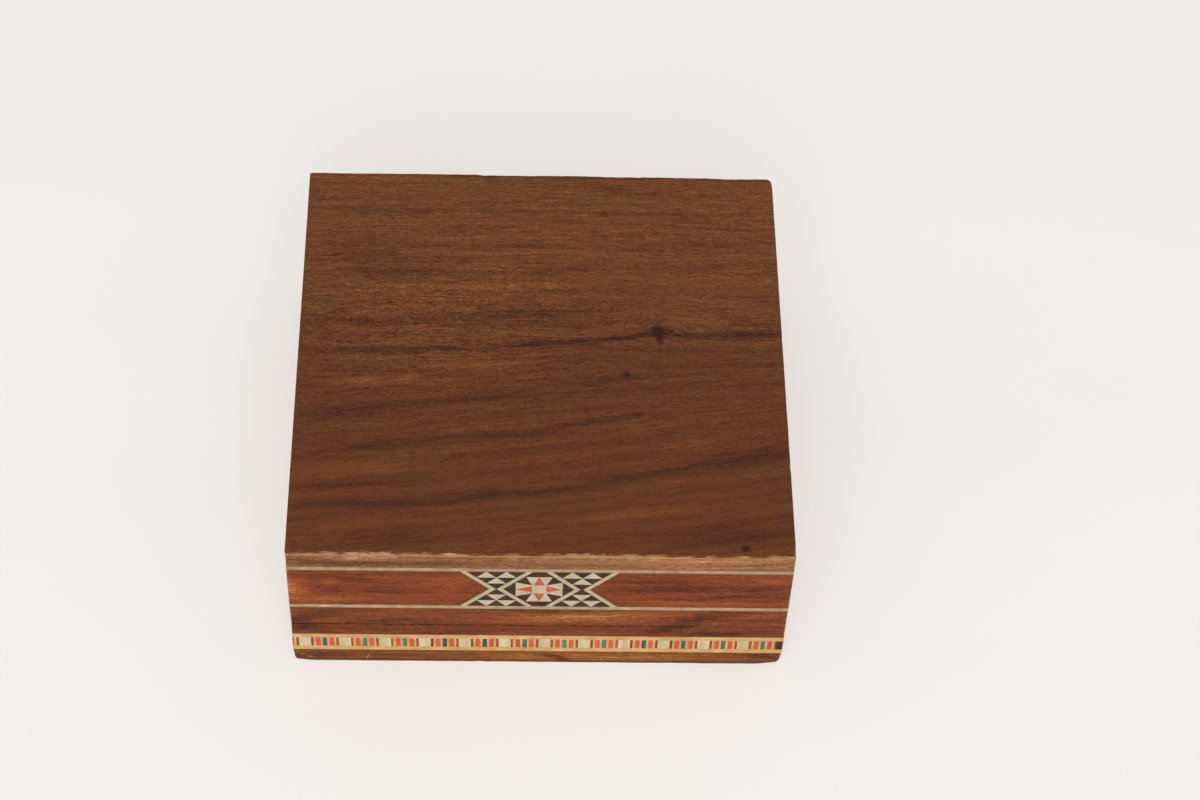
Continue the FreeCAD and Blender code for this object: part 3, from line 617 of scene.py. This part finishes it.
materials = {
    "walnut_sheet": top_walnut(),
    "walnut_pale": side_walnut(
        "walnut_pale",
        [
            (0.0, rgb(66, 36, 19)),
            (0.3, rgb(110, 64, 34)),
            (0.55, rgb(138, 90, 52)),
            (0.8, rgb(167, 117, 72)),
            (1.0, rgb(195, 155, 106)),
        ],
        EDGE_PATCHES,
        seed=31.0,
        streaks=0.5,
        bend=2.5,
    ),
    "walnut_red": side_walnut(
        "walnut_red",
        [
            (0.0, rgb(57, 23, 10)),
            (0.3, rgb(98, 42, 13)),
            (0.55, rgb(127, 58, 20)),
            (0.8, rgb(152, 79, 33)),
            (1.0, rgb(182, 117, 68)),
        ],
        FRIEZE_PATCHES,
        seed=77.0,
        streaks=0.45,
        bend=3.0,
    ),
    "walnut_brown": side_walnut(
        "walnut_brown",
        [
            (0.0, rgb(49, 22, 10)),
            (0.3, rgb(92, 41, 13)),
            (0.55, rgb(120, 58, 20)),
            (0.8, rgb(145, 78, 33)),
            (1.0, rgb(174, 116, 66)),
        ],
        SKIRT_PATCHES,
        seed=120.0,
        streaks=0.5,
        bend=7.0,
    ),
    "softwood": softwood(),
    "cream_line": plain_wood(
        "cream_line",
        rgb(144, 125, 91),
        rgb(180, 163, 125),
        23.0,
        motif_tint=rgb(188, 180, 150),
    ),
    "bone": plain_wood("bone", rgb(163, 155, 126), rgb(192, 184, 157), 37.0, 0.4, 0.4),
    "ebony": plain_wood("ebony", rgb(40, 22, 15), rgb(75, 46, 33), 41.0, 0.6, 0.45),
    "red_wood": cross_grained(
        "red_wood",
        rgb(188, 68, 51),
        rgb(216, 93, 72),
        53.0,
        motif_tint=rgb(162, 80, 64),
    ),
    "green_wood": cross_grained("green_wood", rgb(28, 74, 63), rgb(83, 133, 108), 59.0, 1.2),
    "brown_wood": cross_grained("brown_wood", rgb(114, 49, 19), rgb(169, 87, 40), 61.0),
    "cream_wood": cross_grained("cream_wood", rgb(177, 161, 119), rgb(209, 195, 160), 67.0),
    "yellow_wood": plain_wood("yellow_wood", rgb(178, 138, 78), rgb(208, 174, 114), 71.0, 0.6),
    "brass": brass(),
    "lining_cloth": felt(),
}

# Wear. Each arris of the box is rounded by an amount that wanders along it and grows at its chips.
# Every worn piece of a body takes the same arrises, so that neighbours stay flush.

# Axis, level and outward direction of each face.
FACES = {
    "left": (0, LEFT, -1),
    "right": (0, RIGHT, 1),
    "front": (1, FRONT, -1),
    "back": (1, BACK, 1),
    "bottom": (2, BOTTOM, -1),
    "top": (2, TOP, 1),
    "rim": (2, RIM, 1),
    "skirt": (2, SKIRT, -1),
}


# The wander of a radius: length and share of its slow part and of its quick one.
SLOW_LENGTH, SLOW_SHARE = 7.0, 1.2
QUICK_LENGTH, QUICK_SHARE = 1.4, 0.8
LEAST_RADIUS = 0.02
SEED_STEP = 3.7
# Wood starts to look bare where this much is worn off, and is bare this much further on.
BARE_FROM = 0.12
BARE_WITHIN = 0.16


class Arris:
    """An edge between two faces: its radius, how far that wanders, its chips as middle, reach and
    depth, and how bare the wood is where much is worn off."""

    count = 0

    def __init__(self, first, second, radius, drift, *chips, bare=1.0):
        self.faces = (FACES[first], FACES[second])
        self.along = 3 - self.faces[0][0] - self.faces[1][0]
        self.radius = radius
        self.drift = drift
        self.chips = chips
        self.bare = bare
        Arris.count += 1
        self.seed = SEED_STEP * Arris.count

    def radius_at(self, place):
        slow = noise.noise(Vector((place / SLOW_LENGTH, self.seed, 0.3)))
        quick = noise.noise(Vector((place / QUICK_LENGTH, self.seed, 5.3)))
        radius = self.radius + self.drift * (SLOW_SHARE * slow + QUICK_SHARE * quick)
        for middle, reach, depth in self.chips:
            share = max(0.0, 1.0 - abs(place - middle) / reach)
            radius += depth * share * share * (3.0 - 2.0 * share)
        return max(radius, LEAST_RADIUS)

    def wear(self, point):
        """Moves a point that stands outside the rounded arris in to it. Returns how bare it is."""
        radius = self.radius_at(point[self.along])
        inside = [radius - (level - point[axis]) * sign for axis, level, sign in self.faces]
        reach = math.hypot(*inside)
        if min(inside) <= 0 or reach <= radius:
            return 0.0
        for (axis, level, sign), depth in zip(self.faces, inside):
            point[axis] = level - sign * (radius - depth * radius / reach)
        return self.bare * min(1.0, max(0.0, (reach - radius - BARE_FROM) / BARE_WITHIN))


FRONT_CHIPS = (
    (-46.0, 2.4, 0.2),
    (-36.6, 3.2, 0.42),
    (-31.3, 3.2, 0.28),
    (-25.0, 2.2, 0.2),
    (-17.6, 4.4, 0.36),
    (-7.0, 2.6, 0.2),
    (4.0, 2.0, 0.2),
    (15.0, 3.0, 0.2),
    (29.0, 3.4, 0.25),
    (39.0, 3.0, 0.25),
    (49.0, 3.0, 0.5),
)
RIGHT_CHIPS = ((49, 4, 0.3), (5.0, 1.4, 0.25), (-28.0, 1.6, 0.4), (-49.0, 3.0, 0.5))
SKIRT_CHIPS = ((-38.6, 0.5, 0.3), (-22.8, 0.4, 0.25), (-4.0, 0.5, 0.2), (27.5, 0.7, 0.25))
RIM_CHIPS = ((-41.5, 0.5, 0.25), (-30.6, 0.4, 0.3), (8.5, 0.6, 0.2), (28.2, 0.9, 0.3))
FOOT_CHIPS = ((LEFT, 4.0, 0.8), (RIGHT, 6.0, 1.1), (-12.0, 1.2, 0.25))
LID_WEAR = [
    Arris("front", "left", 0.40, 0.06, (37.6, 0.7, 1.0), (SKIRT, 0.7, 0.5), bare=0.8),
    Arris("front", "right", 0.42, 0.08, (30.0, 1.5, 0.2), bare=0.4),
    Arris("back", "left", 0.42, 0.08, (TOP, 5.0, 0.3), bare=0.2),
    Arris("back", "right", 0.42, 0.08, (TOP, 7.0, 1.5), bare=0.2),
    Arris("top", "front", 0.40, 0.30, *FRONT_CHIPS),
    Arris("top", "left", 0.22, 0.10, (12.0, 1.6, 0.3), (-26.0, 1.2, 0.25), (38.0, 2.0, 0.2)),
    Arris("top", "right", 0.28, 0.20, *RIGHT_CHIPS),
    Arris("top", "back", 0.28, 0.20, (42, 9, 0.3), (-12.0, 2.0, 0.3), (21.0, 1.5, 0.2)),
    Arris("skirt", "front", 0.07, 0.05, *SKIRT_CHIPS),
    Arris("skirt", "left", 0.07, 0.05, (18.0, 0.6, 0.3)),
    Arris("skirt", "right", 0.07, 0.05, (-24.0, 0.6, 0.3)),
]
BASE_WEAR = [
    Arris("front", "left", 0.40, 0.06, (RIM, 0.8, 0.5), (BOTTOM, 4.5, 0.6), bare=0.3),
    Arris("front", "right", 0.42, 0.06, (BOTTOM, 5.0, 0.9), bare=0.3),
    Arris("back", "left", 0.42, 0.08, (BOTTOM, 4.0, 0.6), bare=0.2),
    Arris("back", "right", 0.42, 0.08, (BOTTOM, 4.0, 0.6), bare=0.2),
    Arris("bottom", "front", 0.30, 0.10, *FOOT_CHIPS, bare=0.2),
    Arris("bottom", "left", 0.32, 0.10, (FRONT, 4.5, 1.9), (BACK, 4.5, 1.5), bare=0.2),
    Arris("bottom", "right", 0.32, 0.10, (FRONT, 6.5, 2.7), (BACK, 4.5, 1.5), bare=0.2),
    Arris("bottom", "back", 0.32, 0.10, (LEFT, 4.0, 1.0), (RIGHT, 4.0, 1.0), bare=0.2),
    Arris("rim", "front", 0.07, 0.05, *RIM_CHIPS),
    Arris("rim", "left", 0.07, 0.05, (-9.0, 0.6, 0.3)),
    Arris("rim", "right", 0.07, 0.05, (14.0, 0.6, 0.3)),
]
# How far the points of a worn mesh are from its arrises, and how far apart they are elsewhere:
# along an arris, and up a strip. The edge of a sheet has this many rows.
NEAR_ARRIS = (0.05, 0.12, 0.22, 0.36, 0.56, 0.85)
ALONG_STEP = 0.6
UP_STEP = 1.5
EDGE_ROWS = 10


def stations(low, high, spacing):
    """Places from one end of a length to the other, close together near both ends."""
    first = low + NEAR_ARRIS[-1]
    last = high - NEAR_ARRIS[-1]
    count = max(1, round((last - first) / spacing))
    inner = [first + (last - first) * index / count for index in range(1, count)]
    near = [low] + [low + step for step in NEAR_ARRIS]
    return near + inner + [low + high - place for place in reversed(near)]


def loft(rings):
    """Points and faces of a closed skin over rings of equally many points, capped at both ends."""
    size = len(rings[0])
    points = [point for ring in rings for point in ring]
    faces = [tuple(range(size)), tuple(range(len(points) - size, len(points)))]
    for start in range(0, len(points) - size, size):
        for index in range(size):
            after = (index + 1) % size
            faces.append((start + index, start + after, start + size + after, start + size + index))
    return points, faces


def strip(side, low, high):
    """A strip of veneer on one side of the box. The front and back ones run the whole width."""
    axis, level, sign = FACES[side]
    section = [(0.0, z) for z in stations(low, high, UP_STEP)[1:-1]]
    section += [(depth, high) for depth in NEAR_ARRIS] + [(VENEER, high), (VENEER, low)]
    section += [(depth, low) for depth in reversed(NEAR_ARRIS)]
    section = [(level - sign * depth, z) for depth, z in section]
    ends = (LEFT, RIGHT) if axis else (FRONT + VENEER, BACK - VENEER)
    rings = []
    for place in stations(*ends, ALONG_STEP):
        rings.append([Vector((place, a, z) if axis else (a, place, z)) for a, z in section])
    return loft(rings)


def whole_sheet(low, high):
    """A sheet of veneer over the whole top or bottom, as rings that shrink toward its middle."""
    line = stations(LEFT, RIGHT, ALONG_STEP)[:-1]
    outline = [(x, FRONT) for x in line] + [(RIGHT, y) for y in line]
    outline += [(-x, BACK) for x in line] + [(LEFT, -y) for y in line]
    levels = [(inset, low) for inset in reversed(NEAR_ARRIS)]
    levels += [(0.0, low + (high - low) * step / EDGE_ROWS) for step in range(EDGE_ROWS + 1)]
    levels += [(inset, high) for inset in NEAR_ARRIS]
    rings = []
    for inset, z in levels:
        share = 1.0 - inset / RIGHT
        rings.append([Vector((x * share, y * share, z)) for x, y in outline])
    return loft(rings)


def add_piece(name, body, slot, shells, replaced, arrises=()):
    """One piece of closed shells, worn by the arrises. Its mesh keeps how bare each point is."""
    points = []
    faces = []
    for shell_points, shell_faces in shells:
        faces += [tuple(len(points) + index for index in face) for face in shell_faces]
        points += shell_points
    bare = [max((arris.wear(point) for arris in arrises), default=0.0) for point in points]
    mesh = bpy.data.meshes.new(name)
    mesh.from_pydata([point * MM for point in points], [], faces)
    skin = bmesh.new()
    skin.from_mesh(mesh)
    bmesh.ops.recalc_face_normals(skin, faces=skin.faces)
    skin.to_mesh(mesh)
    skin.free()
    mesh.attributes.new("bare", "FLOAT", "POINT").data.foreach_set("value", bare)
    mesh.polygons.foreach_set("use_smooth", [True] * len(mesh.polygons))
    mesh.set_sharp_from_angle(angle=SHARP)
    mesh.materials.append(materials[slot])
    piece = bpy.data.objects.new(name, mesh)
    bpy.context.scene.collection.objects.link(piece)
    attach(piece, body)
    if replaced:
        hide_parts(*replaced)
    return piece


def add_strip(node, side, body, slot, arrises):
    low, high = box_mm(node)
    add_piece(f"worn_{node}", body, slot, [strip(side, low.z, high.z)], [node], arrises)


for side in SIDES:
    add_strip(f"lid_{side}_edge_strip", side, "lid", "walnut_pale", LID_WEAR)
# The two back strips at the sawn line are notched for the hinges and keep their CAD shape.
for side in ("front", "left", "right"):
    add_strip(f"lid_{side}_skirt_strip", side, "lid", "walnut_brown", LID_WEAR)
    add_strip(f"base_{side}_rim_strip", side, "base", "walnut_brown", BASE_WEAR)
foot_low, foot_high = box_mm("base_foot_strips")
foot = [strip(side, foot_low.z, foot_high.z) for side in SIDES]
add_piece("worn_foot_strips", "base", "walnut_brown", foot, ["base_foot_strips"], BASE_WEAR)
bottom_low, bottom_high = box_mm("base_bottom_veneer")
bottom = whole_sheet(bottom_low.z, bottom_high.z)
add_piece("worn_bottom_veneer", "base", "walnut_sheet", [bottom], ["base_bottom_veneer"], BASE_WEAR)
top = whole_sheet(TOP_LOW.z, TOP_HIGH.z)
add_piece("worn_top_veneer", "lid", "walnut_sheet", [top], ["lid_top_veneer"], LID_WEAR)


# The lining: one cloth in each half, glued to the board and up the four walls.

BEND = 1.6
LINING_CORNER = 1.2
SIDE_STEPS = 20
ROUND_STEPS = 6
# Where the cloth has rings of points: from the middle of the board outward, and up the walls.
BOARD_SHARES = (0.1, 0.3, 0.5, 0.7, 0.85, 0.94)
WALL_SHARES = (0.25, 0.5, 0.75, 0.93)
# How the cloth is lumpy: scale and height of the noise. Its upper edge is more so.
LUMPS = ((0.22, 0.10), (0.9, 0.05))
EDGE_LUMPS = 1.5


def rounded_square(half, radius, z):
    """A ring of points round a level square with rounded corners."""
    reach = half - radius
    ring = []
    for quarter in range(4):
        turn = Matrix.Rotation(quarter * math.pi / 2, 2)
        for step in range(SIDE_STEPS):
            ring.append(turn @ Vector((half, reach * (2 * step / SIDE_STEPS - 1))))
        for step in range(ROUND_STEPS):
            angle = step / ROUND_STEPS * math.pi / 2
            out, over = radius * math.cos(angle), radius * math.sin(angle)
            ring.append(turn @ Vector((reach + out, reach + over)))
    return [Vector((x, y, z)) for x, y in ring]


def add_lining(name, body, board, walls, upward):
    """A cloth tray with a soft bend at the board and an uneven upper edge."""
    sheet_low, sheet_high = box_mm(board)
    wall_low, wall_high = box_mm(walls)
    cloth = sheet_high.z - sheet_low.z
    outer = sheet_high.x
    inner = outer - cloth
    back_level, face, rim = sheet_low.z, sheet_high.z, wall_high.z
    if not upward:
        back_level, face, rim = sheet_high.z, sheet_low.z, wall_low.z
    sign = 1.0 if upward else -1.0
    levels = [(inner * share, face) for share in BOARD_SHARES]
    for step in range(ROUND_STEPS + 1):
        angle = step / ROUND_STEPS * math.pi / 2
        rise = sign * BEND * (1 - math.cos(angle))
        levels.append((inner - BEND + BEND * math.sin(angle), face + rise))
    wall = abs(rim - face) - BEND
    levels += [(inner, face + sign * (BEND + wall * share)) for share in WALL_SHARES]
    middle = (inner + outer) / 2
    for step in range(ROUND_STEPS + 1):
        angle = step / ROUND_STEPS * math.pi
        drop = sign * cloth / 2 * (1 - math.sin(angle))
        levels.append((middle - cloth / 2 * math.cos(angle), rim - drop))
    levels += [(outer, back_level + sign * 0.5), (outer - 0.3, back_level)]
    rings = []
    for half, z in levels:
        ring = rounded_square(half, min(LINING_CORNER, half * 0.5), z)
        for point in ring:
            lump = abs(sum(noise.noise(point * scale) * height for scale, height in LUMPS))
            if half < inner - 0.1:
                point.z += sign * lump
            elif half < outer - 0.1:
                point.z -= sign * lump * EDGE_LUMPS
        rings.append(ring)
    piece = add_piece(name, body, "lining_cloth", [loft(rings)], [board, walls])


add_lining("base_lining_cloth", "base", "base_lining_floor", "base_lining_walls", True)
add_lining("lid_lining_cloth", "lid", "lid_lining_roof", "lid_lining_walls", False)


# The hinge nails: low brass heads that fill the holes of the leaves, and tapered shanks in wood.

# Radius and rise of each ring of points, from the top of the head to the end of the shank.
NAIL = (
    (0.3, 0.045),
    (0.52, 0.0),
    (0.6, -0.08),
    (0.6, -0.35),
    (0.42, -0.62),
    (0.38, -3.4),
    (0.12, -4.2),
)
NAIL_SIDES = 20
HOLE_FROM_BACK = 2.6
HOLE_SPACING = 10.0


def nail(x, y, z, sign):
    rings = []
    for radius, rise in NAIL:
        ring = []
        for step in range(NAIL_SIDES):
            angle = step / NAIL_SIDES * math.tau
            across, over = radius * math.cos(angle), radius * math.sin(angle)
            ring.append(Vector((x + across, y + over, z + sign * rise)))
        rings.append(ring)
    return loft(rings)


for side in ("left", "right"):
    for half, body, level, sign in (("lower", "base", RIM, 1), ("upper", "lid", SKIRT, -1)):
        leaf_low, leaf_high = box_mm(f"hinge_{side}_{half}_leaf")
        middle = (leaf_low.x + leaf_high.x) / 2
        spots = (middle - HOLE_SPACING / 2, middle + HOLE_SPACING / 2)
        pair = [nail(x, BACK - HOLE_FROM_BACK, level, sign) for x in spots]
        add_piece(f"hinge_{side}_{half}_nails", body, "brass", pair, [])

# The carried-over CAD pieces: each takes its slot's material and finely broken arrises. The lines,
# the borders and the motif were scraped flush, so their edges stay sharp.

ARRIS = 0.05
WELD_REACH = 0.001
FLAT_WITHIN = math.radians(1.0)
SCRAPED_FLUSH = (
    "motif_",
    "star_",
    "lid_upper_line",
    "lid_lower_line",
    "band_upper_border",
    "band_lower_border",
)
for subpart in frame["record"]["subparts"]:
    piece = nodes[subpart["node"]]
    slot = subpart["material_slot"]
    for index in range(len(piece.material_slots)):
        piece.material_slots[index].material = materials[slot]
    if subpart["node"].startswith(SCRAPED_FLUSH):
        continue
    weld = piece.modifiers.new("weld", "WELD")
    weld.merge_threshold = WELD_REACH * MM
    flat = piece.modifiers.new("flat_faces", "DECIMATE")
    flat.decimate_type = "DISSOLVE"
    flat.angle_limit = FLAT_WITHIN
    arris = piece.modifiers.new("arris", "BEVEL")
    arris.width = ARRIS * MM
    arris.segments = 2
    arris.limit_method = "ANGLE"
    arris.angle_limit = SHARP
    arris.use_clamp_overlap = True


# The camera, the light and the floor

# How the photograph's camera turns, tilts and rolls in degrees, what it aims at, and from how far.
CAMERA_TURN = -3.2228
CAMERA_TILT = 52.0684
CAMERA_ROLL = 3.2179
CAMERA_AIM = (12.74, 3.03, 20.0)
CAMERA_DISTANCE = 604.69
SENSOR_WIDTH = 36.0
FOCAL_LENGTH = 85.646
NEAREST_SEEN = 10.0
KEY_PLACE = (-60, -850, 820)
KEY_SIZE = 700
KEY_POWER = 8.6
DAYLIGHT = (1.0, 0.985, 0.965, 1.0)
DAYLIGHT_STRENGTH = 0.6
FLOOR_HALF = 3000
FLOOR_GLOW = 0.62


def add_camera():
    turn, tilt, roll = map(math.radians, (CAMERA_TURN, CAMERA_TILT, CAMERA_ROLL))
    flat = math.cos(tilt)
    back = Vector((math.sin(turn) * flat, -math.cos(turn) * flat, math.sin(tilt)))
    level = Vector((math.cos(turn), math.sin(turn), 0.0))
    up = back.cross(level)
    right = level * math.cos(roll) + up * math.sin(roll)
    up = up * math.cos(roll) - level * math.sin(roll)
    data = bpy.data.cameras.new("camera")
    data.sensor_width = SENSOR_WIDTH
    data.lens = FOCAL_LENGTH
    data.clip_start = NEAREST_SEEN * MM
    camera = bpy.data.objects.new("camera", data)
    place = Matrix.Translation((Vector(CAMERA_AIM) + back * CAMERA_DISTANCE) * MM)
    camera.matrix_world = place @ Matrix((right, up, back)).transposed().to_4x4()
    bpy.context.scene.collection.objects.link(camera)
    bpy.context.scene.camera = camera


def add_key_lamp():
    """A square lamp that faces the floor under the middle of the box."""
    data = bpy.data.lights.new("key", "AREA")
    data.shape = "SQUARE"
    data.size = KEY_SIZE * MM
    data.energy = KEY_POWER
    lamp = bpy.data.objects.new("key", data)
    lamp.location = Vector(KEY_PLACE) * MM
    lamp.rotation_mode = "QUATERNION"
    lamp.rotation_quaternion = Vector(KEY_PLACE).to_track_quat("Z", "Y")
    bpy.context.scene.collection.objects.link(lamp)


def add_world():
    world = bpy.data.worlds.new("daylight")
    world.use_nodes = True
    background = world.node_tree.nodes["Background"]
    background.inputs["Color"].default_value = DAYLIGHT
    background.inputs["Strength"].default_value = DAYLIGHT_STRENGTH
    bpy.context.scene.world = world


def add_floor():
    """A pale painted floor. The camera sees it near white, and it keeps a soft shadow."""
    half = FLOOR_HALF * MM
    corners = [(-half, -half, 0), (half, -half, 0), (half, half, 0), (-half, half, 0)]
    mesh = bpy.data.meshes.new("floor")
    mesh.from_pydata(corners, [], [(0, 1, 2, 3)])
    floor = bpy.data.objects.new("floor", mesh)
    bpy.context.scene.collection.objects.link(floor)
    paint = Paint("floor")
    tone = paint.grain(paint.position(), 180.0, 60.0, 3.0)
    colour = paint.mix(tone, rgb(242, 237, 233), rgb(248, 243, 240))
    paint.finish(colour, 0.7, Specular_IOR_Level=0.2)
    glow = paint.node("Emission")
    paint.feed(glow.inputs["Color"], colour)
    path = paint.node("LightPath").outputs
    seen = paint.math("MAXIMUM", path["Is Camera Ray"], path["Is Glossy Ray"])
    blend = paint.node("MixShader")
    paint.feed(blend.inputs[0], paint.math("MULTIPLY", seen, FLOOR_GLOW))
    paint.feed(blend.inputs[1], paint.shader.outputs[0])
    paint.feed(blend.inputs[2], glow.outputs[0])
    paint.feed(paint.tree.nodes["Material Output"].inputs["Surface"], blend.outputs[0])
    mesh.materials.append(paint.material)


add_camera()
add_world()
add_key_lamp()
add_floor()
bpy.context.scene.view_settings.view_transform = "Standard"
